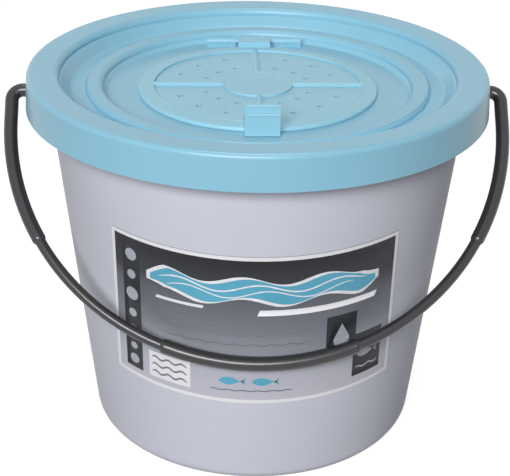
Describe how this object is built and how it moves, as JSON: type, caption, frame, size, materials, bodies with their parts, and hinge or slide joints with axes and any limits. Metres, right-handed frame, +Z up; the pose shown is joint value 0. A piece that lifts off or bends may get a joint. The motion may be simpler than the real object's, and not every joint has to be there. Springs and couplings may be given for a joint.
{
  "type": "aerated bait bucket",
  "caption": "Round insulated bait pail with a foam liner, a stepped press-on lid with a perforated hinged hatch and finger latch, a black bail handle and a printed wrap label.",
  "frame": {"origin": "on the ground plane under the middle of the bucket, halfway across its overall width and depth", "axes": "+X to the right along the line through the two bail pivots, -Y to the front where the latch and the label are, +Z up"},
  "size_m": [0.3122, 0.2864, 0.2397],
  "materials": {
    "pail_plastic": "satin",
    "lid_plastic": "satin",
    "handle_plastic": "gloss",
    "liner_foam": "matt beaded foam",
    "label_film": "printed film, semi-gloss"
  },
  "bodies": {
    "bucket_body": {"bucket": "pail_plastic", "foam_liner": "liner_foam", "label": "label_film"},
    "bail_body": {"bail": "handle_plastic"},
    "lid_body": {"lid": "lid_plastic", "hatch_pin": "lid_plastic"},
    "hatch_body": {"hatch": "lid_plastic"}
  },
  "joints": [
    {"name": "bail_swing", "type": "hinge", "parent": "bucket_body", "child": "bail_body", "pos_m": [0, 0, 0.2195], "axis": [-1, 0, 0], "range_deg": [0, 271.5]},
    {"name": "lid_lift", "type": "slide", "parent": "bucket_body", "child": "lid_body", "axis": [0, 0, 1], "range_m": [0, 0.035]},
    {"name": "hatch_hinge", "type": "hinge", "parent": "lid_body", "child": "hatch_body", "pos_m": [0, 0.082, 0.225], "axis": [-1, 0, 0], "range_deg": [0, 150]}
  ]
}
